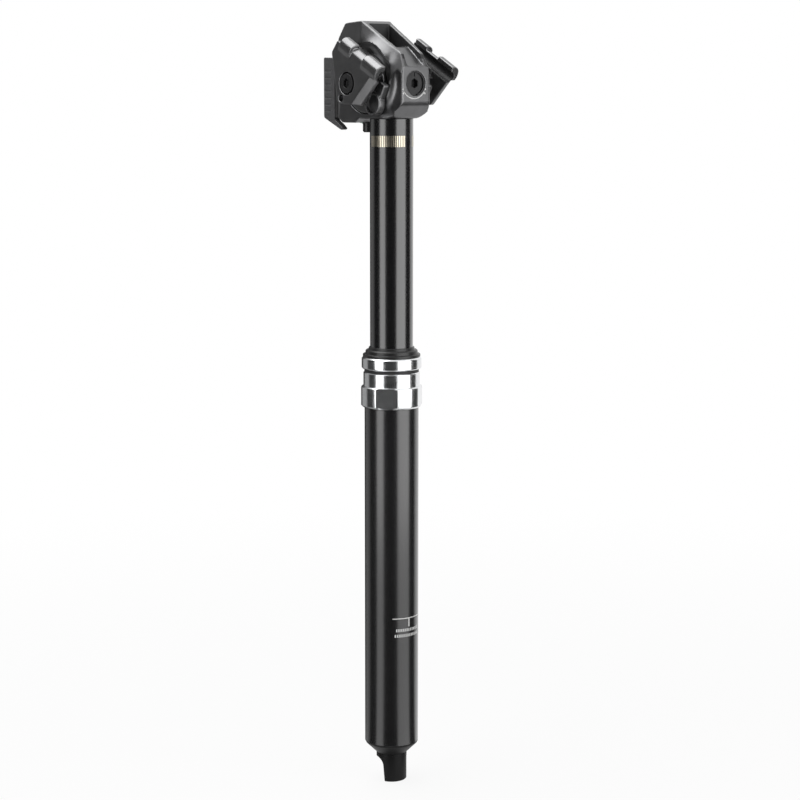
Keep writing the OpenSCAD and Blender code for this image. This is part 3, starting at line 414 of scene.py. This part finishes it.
def turned(name, profile, steps=192):
    """A ring or tube turned from a closed outline of (radius, height), in millimetres."""
    build = bmesh.new()
    rings = []
    for i in range(steps):
        a = 2 * math.pi * i / steps
        rings.append([build.verts.new((r * MM * math.cos(a), r * MM * math.sin(a), z * MM))
                      for r, z in profile])
    count = len(profile)
    for i in range(steps):
        here, there = rings[i], rings[(i + 1) % steps]
        for j in range(count):
            k = (j + 1) % count
            build.faces.new((here[j], there[j], there[k], here[k]))
    bmesh.ops.recalc_face_normals(build, faces=build.faces)
    mesh = bpy.data.meshes.new(name)
    build.to_mesh(mesh)
    build.free()
    smooth(mesh, TURNED_SHARP)
    return object_from(name, mesh)


def stands_for(piece, *names):
    """Gives the piece the finish for the slot of the CAD node that it stands for, and that node's body."""
    slot = slot_of[names[0]]
    piece.data.materials.clear()
    piece.data.materials.append(finishes[slot])
    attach(piece, body_of[names[0]])
    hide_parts(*names)
    return piece


def rounded(outline, steps=4):
    """A closed outline of (radius, height, corner) with its corners rounded."""
    points = []
    n = len(outline)
    for i, (x, z, r) in enumerate(outline):
        here = Vector((x, z))
        if r == 0:
            points.append((x, z))
            continue
        u = (Vector(outline[i - 1][:2]) - here).normalized()
        w = (Vector(outline[(i + 1) % n][:2]) - here).normalized()
        half = u.angle(w) / 2
        reach = r / math.tan(half)
        centre = here + (u + w).normalized() * r / math.sin(half)
        start, end = here + u * reach - centre, here + w * reach - centre
        for s in range(steps + 1):
            t = s / steps
            mid = start.lerp(end, t).normalized() * r
            points.append(tuple(centre + mid))
    return points


# %% [markdown]
# ## Tubes, collar and wiper
# These are lathe work on the real post, and here too: an outline in radius and height is swept
# round the axis, with a small radius on each corner. The collar's four wrench flats are milled after
# turning, so points of the wrench band that stand proud of a flat are pushed back onto it. The groove
# above the scale gets painted shade: its faces get a dark finish of their own.

# %% Tubes
POST_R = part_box("outer_tube")[1].x / MM
STANCHION_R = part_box("stanchion")[1].x / MM
LOWER_WALL, UPPER_WALL, TUBE_EDGE = 1.6, 2, 0.4


def tube(name, node_name, radius, bore, top=None):
    """A tube as high as its CAD node, or up to a top."""
    low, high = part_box(node_name)
    z0, z1 = low.z / MM, high.z / MM if top is None else top
    outline = rounded([(bore, z0, 0), (radius, z0, TUBE_EDGE), (radius, z1, TUBE_EDGE), (bore, z1, 0)])
    return stands_for(turned(name, outline, ROUND_STEPS), node_name)


lower_tube = tube("lower_tube", "outer_tube", POST_R, POST_R - LOWER_WALL, 0.0)
upper_tube = tube("upper_tube", "stanchion", STANCHION_R, STANCHION_R - UPPER_WALL)
print("tubes", [len(o.data.polygons) for o in (lower_tube, upper_tube)])

# %% Collar and wiper
WRENCH_R, MIDDLE_R, UPPER_R = POST_R + 2.2, POST_R + 0.65, POST_R + 1.65
WRENCH_TOP, MIDDLE_TOP, GROOVE_TOP, COLLAR_TOP = 12.3, 20.5, 22.5, 29.5
CHAMFER, SOFT, GROOVE_HALF = 1.1, 0.55, 1.1
FLAT_DEPTH, FIRST_FLAT = 1.1, -51
FLAT_R = WRENCH_R - FLAT_DEPTH
FLAT_TURNS = [math.radians(FIRST_FLAT + 90 * i) for i in range(4)]
THREAD_R = POST_R - 0.6
collar = turned("collar", rounded([
    (THREAD_R, 0, 0), (WRENCH_R - CHAMFER, 0, 0.3), (WRENCH_R, CHAMFER, 0.4),
    (WRENCH_R, WRENCH_TOP - SOFT, 0.3), (WRENCH_R - SOFT, WRENCH_TOP, 0.15), (MIDDLE_R, WRENCH_TOP, 0.2),
    (MIDDLE_R, MIDDLE_TOP - 0.5, 0.3), (MIDDLE_R - SOFT, MIDDLE_TOP, 0.2), (MIDDLE_R - SOFT, GROOVE_TOP, 0.2),
    (UPPER_R - 0.5, GROOVE_TOP, 0.2), (UPPER_R, GROOVE_TOP + SOFT, 0.4), (UPPER_R, COLLAR_TOP - CHAMFER, 0.8),
    (UPPER_R - CHAMFER, COLLAR_TOP, 0.4), (THREAD_R, COLLAR_TOP, 0)]), COLLAR_STEPS)
for v in collar.data.vertices:
    if v.co.z < (WRENCH_TOP + 0.01) * MM:
        for turn in FLAT_TURNS:
            out_way = Vector((math.cos(turn), math.sin(turn), 0))
            proud = v.co.dot(out_way) - FLAT_R * MM
            if proud > 0:
                v.co -= out_way * proud
smooth(collar.data, TURNED_SHARP)
stands_for(collar, "top_collar")
# Painted shade in the groove above the scale: its inner faces take the dark finish.
collar.data.materials.append(painted_shade)
for face in collar.data.polygons:
    in_groove = abs(face.center.z / MM - (MIDDLE_TOP + GROOVE_TOP) / 2) < GROOVE_HALF
    if in_groove and face.center.xy.length < (MIDDLE_R - 0.1) * MM:
        face.material_index = 1

WIPER_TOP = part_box("wiper_seal")[1].z / MM
WIPER_BORE, WIPER_FOOT = STANCHION_R + 0.05, COLLAR_TOP - 4
FLANGE_R, FLANGE_TOP, LIP_FOOT = UPPER_R - 0.7, COLLAR_TOP + 1.5, WIPER_TOP - 1.6
wiper = turned("wiper", rounded([
    (WIPER_BORE, WIPER_FOOT, 0), (THREAD_R, WIPER_FOOT, 0), (THREAD_R, COLLAR_TOP, 0),
    (FLANGE_R, COLLAR_TOP, 0.1), (FLANGE_R, FLANGE_TOP, 0.5), (THREAD_R, FLANGE_TOP, 0.3),
    (THREAD_R, WIPER_TOP - 2.2, 0.4), (THREAD_R - 0.6, LIP_FOOT, 0.2), (STANCHION_R + 1, LIP_FOOT, 0.2),
    (STANCHION_R + 0.7, WIPER_TOP, 0.25), (WIPER_BORE, WIPER_TOP, 0)]), ROUND_STEPS)
stands_for(wiper, "wiper_seal")
print("collar faces", len(collar.data.polygons), "wiper faces", len(wiper.data.polygons))

# %% [markdown]
# ## Forged head, clamps and battery case
# The head and the clamps are aluminium forgings, so no edge on them is sharp. A fine remesh keeps
# the CAD's planes and bores and rounds what lies between them. The moulded battery case is made in
# the same way with a finer voxel, so that its grip grooves stay crisp.

# %% [markdown]
# ### Arches and channel of the head
# The rim of each round recess stands out like a wheel arch: in front of it the wall falls away into
# a hollow, and above it the wall swells out to meet it. Sculpting would do this by hand. Here every
# point of the side walls moves along Y to a bell-shaped outline over its distance from the rim, so
# the arch follows the recess exactly. The channel on top gets painted shade, a dark finish on its walls.

# %% Arches and channel
FACE_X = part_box("head")[1].x / MM
ARCH_X, ARCH_Z, ARCH_R = -7.0, 189.3, 20.2
RIM_Y, HOLLOW_Y = 13.4, 10.5
FLARE_REACH, SWELL_REACH = 2.9, 2.2
# Angles round the recess, up from straight ahead, over which each form comes in and goes out
FRONT_IN, FRONT_OUT = (-65, -40), (50, 70)
ABOVE_IN, ABOVE_OUT = (15, 40), (95, 125)
# The front face sinks a little, so that the arc printed on it stays inside the CAD's box
FACE_SINK = 0.06


def eased(value, low, high):
    """0 below low, 1 above high, and smooth between them."""
    t = min(1.0, max(0.0, (value - low) / (high - low)))
    return t * t * (3 - 2 * t)


def arch_flare(piece):
    """Moves the side walls of the head to the outline of the arches."""
    normals = [v.normal.y for v in piece.data.vertices]
    for v, side in zip(piece.data.vertices, normals):
        x, y, z = (c / MM for c in v.co)
        radius = math.hypot(x - ARCH_X, z - ARCH_Z)
        turn = math.degrees(math.atan2(z - ARCH_Z, x - ARCH_X))
        if radius > ARCH_R - 0.15 and abs(y) > HOLLOW_Y - 2.5 and side * y > 0.2 * abs(y):
            off_rim = max(0.0, radius - ARCH_R)
            bell = HOLLOW_Y + (RIM_Y - HOLLOW_Y) * math.exp(-(off_rim / FLARE_REACH) ** 2)
            front = eased(turn, *FRONT_IN) * (1 - eased(turn, *FRONT_OUT))
            above = eased(turn, *ABOVE_IN) * (1 - eased(turn, *ABOVE_OUT))
            wide = abs(y)
            wide += front * (1 - above) * (min(wide, bell) - wide)
            wide += above * max(0.0, RIM_Y - wide) * math.exp(-off_rim / SWELL_REACH)
            y = math.copysign(wide, y)
        v.co = Vector((min(x, FACE_X - FACE_SINK), y, z)) * MM
    piece.data.update()


CHANNEL_REAR, CHANNEL_HALF_W, CHANNEL_FLOOR = -11.6, 8.0, 200.0


def paint_channel_shade(piece, stock):
    """Gives the channel's upright walls a dark finish, as painted shade."""
    piece.data.materials.append(stock)
    for face in piece.data.polygons:
        x, y, z = (c / MM for c in face.center)
        if x > CHANNEL_REAR and abs(y) < CHANNEL_HALF_W and z > CHANNEL_FLOOR and face.normal.z < 0.5:
            face.material_index = 1


# %% [markdown]
# ### Rail seats
# The clamps hold the saddle rails in round seats, and these get painted shade too, a dark finish.
# They could be painted by hand. Here a seat's faces are those within reach of the rail's axis, which
# the part's record states as a mount, so the finish follows the CAD.

# %% Rail seats
RAIL = next(m for m in record["mounts"] if m["name"] == "saddle_rail_left")
RAIL_AT, RAIL_WAY = Vector(RAIL["pos_m"]), Vector(RAIL["axis"]).normalized()


def paint_seat_shade(piece, stock, reach, aside):
    """Paints shade into the round seat of a rail, out to a reach. The seat may stand aside along Y."""
    piece.data.materials.append(stock)
    for face in piece.data.polygons:
        spot = face.center - Vector((0, aside * MM, 0))
        spot.y = abs(spot.y)
        off = spot - RAIL_AT
        off -= RAIL_WAY * off.dot(RAIL_WAY)
        if off.length < reach * MM:
            face.material_index = 1


# %% Forged and moulded pieces
CLAMP_OPEN, SEAT_REACH, INNER_SEAT_REACH = 5.0, 3.8, 5.2
for name, cad, voxel, relax in (
        ("head_forging", "head", 0.42, 4),
        ("outer_clamp_right_forging", "outer_clamp_right", 0.3, 8),
        ("outer_clamp_left_forging", "outer_clamp_left", 0.3, 8),
        ("inner_clamp_right_forging", "inner_clamp_right", 0.35, 5),
        ("inner_clamp_left_forging", "inner_clamp_left", 0.35, 5),
        ("battery_case", "battery", 0.3, 4)):
    piece = stands_for(forged(merged_copy(name, cad), voxel, relax), cad)
    if cad == "head":
        arch_flare(piece)
        # Painted shade on the upright walls of the channel.
        paint_channel_shade(piece, painted_shade)
    if "clamp" in cad:
        reach = INNER_SEAT_REACH if "inner" in cad else SEAT_REACH
        # Painted shade in the rail seats.
        paint_seat_shade(piece, painted_shade, reach, CLAMP_OPEN if cad == "outer_clamp_left" else 0)
    print(name, len(piece.data.polygons))

# %% [markdown]
# ## Machined and moulded small pieces
# Bolts, pins, caps and covers keep the CAD's own shape. A narrow bevel gives each edge the thin
# line of light that a real edge shows. The end cap is a duller black than the tube.

# %% Small pieces
for cad, width in (
        ("end_cap", 0.25), ("clamp_bolt", 0.25), ("bolt_washer", 0.1), ("clamp_nut", 0.2), ("guide_pins", 0.2),
        ("tilt_adjuster", 0.2), ("adjuster_clip", 0.1), ("battery_mount", 0.2), ("battery_latch", 0.2),
        ("latch_pin", 0.15), ("function_button", 0.2), ("status_lens", 0.1), ("air_valve", 0.1),
        ("valve_cap", 0.15), ("cradle_hub", 0.15)):
    piece = stands_for(bevelled(merged_copy(cad + "_part", cad), width), cad)
    if cad == "end_cap":
        piece.data.materials[0] = cap_black
    print(piece.name, len(piece.data.polygons))

# %% [markdown]
# ## Marks
# A real post carries etched and printed marks: a band of ticks under the head, a line for the
# least insertion, a scale on the collar and an arc under the tilt screw. Each is a plate a few
# hundredths of a millimetre proud of the metal. One Geometry Nodes tree sets plates round a
# cylinder, the other runs a flat line along an arc, and their sizes are plain inputs.

# %% Geometry Nodes trees for marks
def new_tree(name, *inputs):
    tree = bpy.data.node_groups.new(name, "GeometryNodeTree")
    for label, kind in inputs:
        tree.interface.new_socket(name=label, in_out="INPUT", socket_type="NodeSocket" + kind)
    tree.interface.new_socket(name="Geometry", in_out="OUTPUT", socket_type="NodeSocketGeometry")
    return tree, node(tree, "NodeGroupInput"), node(tree, "NodeGroupOutput")


def feed(tree, made, *values):
    """The output of a node whose first inputs are numbers or other nodes' outputs."""
    for place, value in enumerate(values):
        if isinstance(value, (int, float)):
            made.inputs[place].default_value = value
        else:
            link(tree, value, made.inputs[place])
    return made.outputs[0]


def math_node(tree, operation, a, b):
    return feed(tree, node(tree, "ShaderNodeMath", operation=operation), a, b)


def vector_node(tree, x, y, z):
    return feed(tree, node(tree, "ShaderNodeCombineXYZ"), x, y, z)


ticks, given, result = new_tree(
    "ticks", ("Count", "Int"), ("Radius", "Float"), ("First turn", "Float"), ("Step", "Float"),
    ("Width", "Float"), ("Height", "Float"), ("Depth", "Float"), ("Foot", "Float"), ("Long every", "Int"),
    ("Long share", "Float"), ("Material", "Material"))
sizes = given.outputs
index = node(ticks, "GeometryNodeInputIndex").outputs[0]
turn = math_node(ticks, "ADD", sizes["First turn"], math_node(ticks, "MULTIPLY", index, sizes["Step"]))
is_long = math_node(ticks, "LESS_THAN", math_node(ticks, "MODULO", index, sizes["Long every"]), 0.5)
extra = math_node(ticks, "MULTIPLY", is_long, math_node(ticks, "SUBTRACT", sizes["Long share"], 1))
tall = math_node(ticks, "ADD", 1, extra)
half_tall = math_node(ticks, "MULTIPLY", math_node(ticks, "MULTIPLY", tall, sizes["Height"]), 0.5)
middle = math_node(ticks, "ADD", sizes["Foot"], half_tall)
spots = node(ticks, "GeometryNodePoints")
link(ticks, sizes["Count"], spots.inputs["Count"])
ahead = math_node(ticks, "MULTIPLY", sizes["Radius"], math_node(ticks, "COSINE", turn, 0))
aside = math_node(ticks, "MULTIPLY", sizes["Radius"], math_node(ticks, "SINE", turn, 0))
link(ticks, vector_node(ticks, ahead, aside, middle), spots.inputs["Position"])
plate = node(ticks, "GeometryNodeMeshCube")
link(ticks, vector_node(ticks, sizes["Depth"], sizes["Width"], sizes["Height"]), plate.inputs["Size"])
facing = node(ticks, "FunctionNodeEulerToRotation")
link(ticks, vector_node(ticks, 0, 0, turn), facing.inputs[0])
copies = node(ticks, "GeometryNodeInstanceOnPoints")
link(ticks, spots.outputs[0], copies.inputs["Points"])
link(ticks, plate.outputs["Mesh"], copies.inputs["Instance"])
link(ticks, facing.outputs[0], copies.inputs["Rotation"])
link(ticks, vector_node(ticks, 1, 1, tall), copies.inputs["Scale"])
solid = node(ticks, "GeometryNodeRealizeInstances")
paint = node(ticks, "GeometryNodeSetMaterial")
link(ticks, copies.outputs[0], solid.inputs[0])
link(ticks, solid.outputs[0], paint.inputs["Geometry"])
link(ticks, sizes["Material"], paint.inputs["Material"])
link(ticks, paint.outputs[0], result.inputs[0])

arc_line, given, result = new_tree(
    "arc_line", ("Radius", "Float"), ("Start", "Float"), ("Sweep", "Float"), ("Points", "Int"),
    ("Height", "Float"), ("Depth", "Float"), ("Place", "Vector"), ("Turn", "Rotation"), ("Material", "Material"))
arc = node(arc_line, "GeometryNodeCurveArc")
link(arc_line, given.outputs["Points"], arc.inputs["Resolution"])
link(arc_line, given.outputs["Radius"], arc.inputs["Radius"])
link(arc_line, given.outputs["Start"], arc.inputs["Start Angle"])
link(arc_line, given.outputs["Sweep"], arc.inputs["Sweep Angle"])
profile = node(arc_line, "GeometryNodeCurvePrimitiveQuadrilateral")
link(arc_line, given.outputs["Depth"], profile.inputs["Width"])
link(arc_line, given.outputs["Height"], profile.inputs["Height"])
sweep = node(arc_line, "GeometryNodeCurveToMesh")
sweep.inputs["Fill Caps"].default_value = True
link(arc_line, arc.outputs["Curve"], sweep.inputs["Curve"])
link(arc_line, profile.outputs["Curve"], sweep.inputs["Profile Curve"])
placed = node(arc_line, "GeometryNodeTransform")
link(arc_line, sweep.outputs[0], placed.inputs["Geometry"])
link(arc_line, given.outputs["Place"], placed.inputs["Translation"])
link(arc_line, given.outputs["Turn"], placed.inputs["Rotation"])
solid = node(arc_line, "GeometryNodeRealizeInstances")
paint = node(arc_line, "GeometryNodeSetMaterial")
link(arc_line, placed.outputs[0], solid.inputs[0])
link(arc_line, solid.outputs[0], paint.inputs["Geometry"])
link(arc_line, given.outputs["Material"], paint.inputs["Material"])
link(arc_line, paint.outputs[0], result.inputs[0])


def marked(name, body, slot, *lines):
    """One plain mesh on a body from several lines, each a tree and its inputs."""
    build = bmesh.new()
    for tree, values in lines:
        holder = object_from(name + "_holder", bpy.data.meshes.new(name + "_holder"))
        modifier = holder.modifiers.new("marks", "NODES")
        modifier.node_group = tree
        for item in tree.interface.items_tree:
            if item.item_type == "SOCKET" and item.in_out == "INPUT":
                modifier[item.identifier] = values[item.name]
        baked(holder)
        build.from_mesh(holder.data)
        bpy.data.objects.remove(holder)
    bmesh.ops.recalc_face_normals(build, faces=build.faces)
    mesh = bpy.data.meshes.new(name)
    build.to_mesh(mesh)
    build.free()
    mesh.materials.append(lines[0][1]["Material"])
    piece = object_from(name, mesh)
    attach(piece, body)
    print(name, len(mesh.polygons), [round(d / MM, 3) for d in piece.dimensions])


PLATE, ARC_POINTS = 0.04, 48


def tick_row(radius, first, last, n, width, height, foot, material, long_every=1, long_share=1.0):
    """Plates from one angle to another, in degrees and millimetres."""
    return ticks, {"Count": n, "Radius": radius * MM, "First turn": math.radians(first),
                   "Step": math.radians((last - first) / (n - 1)), "Width": width * MM, "Height": height * MM,
                   "Depth": PLATE * MM, "Foot": foot * MM, "Long every": long_every, "Long share": long_share,
                   "Material": material}


def line_round(radius, first, last, height, z, material, depth=PLATE, place=None, turn=(0, 0, 0)):
    """A flat line along an arc, in degrees and millimetres."""
    return arc_line, {"Radius": radius * MM, "Start": math.radians(first), "Sweep": math.radians(last - first),
                      "Points": ARC_POINTS, "Height": height * MM, "Depth": depth * MM,
                      "Place": [c * MM for c in (place or (0, 0, z))],
                      "Turn": [math.radians(a) for a in turn], "Material": material}


# %% Marks on the post
marked("height_band", body_of["stanchion"], slot_of["stanchion"],
       tick_row(STANCHION_R, -105, -4, 21, 0.6, 6.3, 150.5, gold_print),
       tick_row(STANCHION_R, 30, 131, 21, 0.6, 6.3, 150.5, gold_print))
marked("insertion_marks", body_of["outer_tube"], slot_of["outer_tube"],
       line_round(POST_R, -38, 38, 0.5, -124, white_print),
       tick_row(POST_R, -1, 1, 2, 0.35, 5, -129.2, white_print),
       tick_row(POST_R, -29, 29, 13, 0.62, 1.7, -131.9, white_print),
       tick_row(POST_R, -32, 32, 14, 0.62, 1.7, -135.2, white_print))
marked("collar_scale", body_of["top_collar"], slot_of["top_collar"],
       tick_row(MIDDLE_R, -52, -32, 6, 0.3, 3, WRENCH_TOP + 0.2, finishes["black_steel"], 5, 1.6))
ARC_PLACE, ARC_TURN = (FACE_X - 0.03, -1.4, 187.0), (90, 0, 90)
marked("tilt_arc", body_of["head"], slot_of["head"],
       *[line_round(radius, first, last, PLATE, 0, white_print, width, ARC_PLACE, ARC_TURN)
         for radius, first, last, width in ((9.2, 216, 324, 0.5), (9.9, 216, 221, 1.4), (9.9, 319, 324, 1.4),
                                            (9.2, 203, 208, 0.9), (9.2, 332, 337, 0.9))])

# %% [markdown]
# ## Inside the tubes
# The damper, its valve and the electronics are hidden at rest, but they are part of the model and
# some of them show when the battery or the clamp is moved. They keep the CAD's meshes and only get
# their finishes.

# %% Inner pieces
for name, cad_object in nodes.items():
    if not cad_object.hide_render:
        cad_object.data.materials.clear()
        cad_object.data.materials.append(finishes[slot_of[name]])
print("shown CAD nodes", sum(not o.hide_render for o in nodes.values()))
